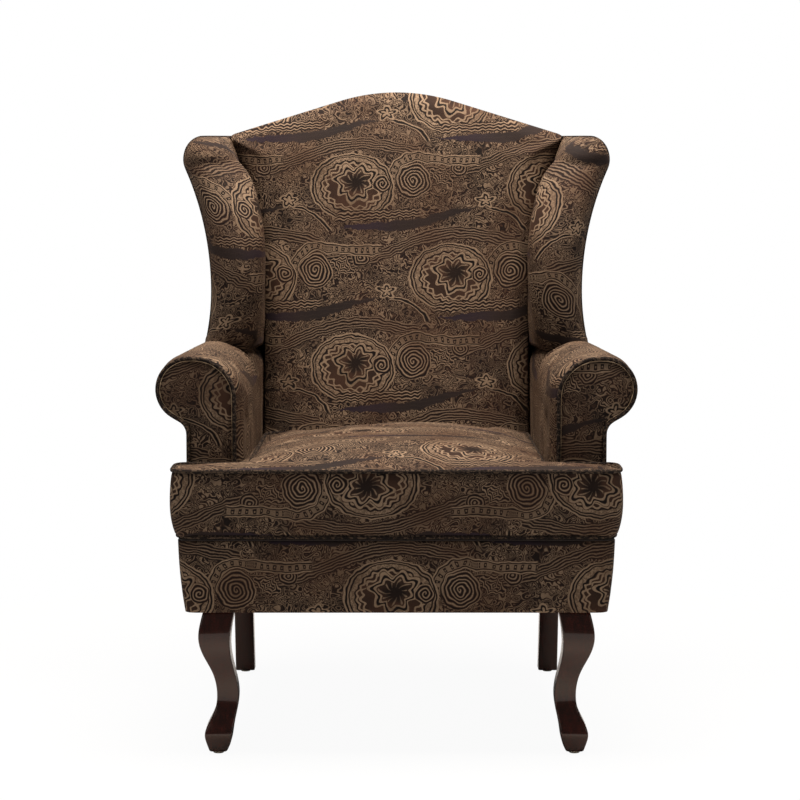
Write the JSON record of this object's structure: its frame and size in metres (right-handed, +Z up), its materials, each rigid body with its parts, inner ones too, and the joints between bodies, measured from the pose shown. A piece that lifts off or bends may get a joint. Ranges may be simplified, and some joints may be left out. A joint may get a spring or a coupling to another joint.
{
  "type": "wingback armchair",
  "caption": "Upholstered wingback armchair with padded wings, rolled arms, camel back, loose T-shaped seat cushion and dark wooden cabriole front legs.",
  "frame": {"origin": "on the floor, in the middle of the chair's overall box", "axes": "+X to the viewer's right when looking at the front of the chair, +Y from the front to the back, +Z up"},
  "size_m": [0.7642, 0.75, 1.045],
  "materials": {
    "upholstery": "paisley woven chenille",
    "foam": "open foam",
    "deck_cloth": "plain woven",
    "dust_cloth": "felted black",
    "zipper_tape": "plain woven",
    "frame_hardwood": "sawn",
    "dark_lacquered_wood": "gloss lacquer",
    "spring_steel": "dull",
    "zipper_metal": "dull",
    "glide_plastic": "matte"
  },
  "bodies": {
    "chair_frame": {"apron_cover": "upholstery", "apron_pad": "foam", "arm_cover_left": "upholstery", "arm_cover_right": "upholstery", "arm_facing_board_left": "frame_hardwood", "arm_facing_board_right": "frame_hardwood", "arm_facing_cover_left": "upholstery", "arm_facing_cover_right": "upholstery", "arm_facing_welt_left": "upholstery", "arm_facing_welt_right": "upholstery", "arm_pad_left": "foam", "arm_pad_right": "foam", "arm_post_left": "frame_hardwood", "arm_post_right": "frame_hardwood", "arm_rail_left": "frame_hardwood", "arm_rail_right": "frame_hardwood", "back_pad": "foam", "back_post_left": "frame_hardwood", "back_post_right": "frame_hardwood", "back_spring_clips": "spring_steel", "back_springs": "spring_steel", "corner_blocks": "frame_hardwood", "crest_rail": "frame_hardwood", "deck_cover": "deck_cloth", "deck_pad": "foam", "dust_cover": "dust_cloth", "foot_glides": "glide_plastic", "front_leg_left": "dark_lacquered_wood", "front_leg_right": "dark_lacquered_wood", "front_seat_rail": "frame_hardwood", "inside_back_cover": "upholstery", "left_seat_rail": "frame_hardwood", "leg_bolts": "spring_steel", "lower_back_rail": "frame_hardwood", "outside_arm_cover_left": "upholstery", "outside_arm_cover_right": "upholstery", "outside_back_cover": "upholstery", "rear_leg_left": "dark_lacquered_wood", "rear_leg_right": "dark_lacquered_wood", "rear_seat_rail": "frame_hardwood", "right_seat_rail": "frame_hardwood", "seat_springs": "spring_steel", "spring_clips": "spring_steel", "wing_board_left": "frame_hardwood", "wing_board_right": "frame_hardwood", "wing_cover_left": "upholstery", "wing_cover_right": "upholstery", "wing_pad_left": "foam", "wing_pad_right": "foam", "wing_welt_left": "upholstery", "wing_welt_right": "upholstery"},
    "seat_cushion": {"cushion_foam": "foam", "cushion_cover": "upholstery", "cushion_top_welt": "upholstery", "cushion_bottom_welt": "upholstery", "zipper_tape": "zipper_tape"},
    "zipper_slider": {"zipper_slider": "zipper_metal", "zipper_pull": "zipper_metal"}
  },
  "joints": [
    {"name": "cushion_pull_out", "type": "slide", "parent": "chair_frame", "child": "seat_cushion", "axis": [0, -0.9848, 0.1736], "range_m": [0, 0.62]},
    {"name": "zipper_run", "type": "slide", "parent": "seat_cushion", "child": "zipper_slider", "axis": [1, 0, 0], "range_m": [0, 0.383]}
  ]
}
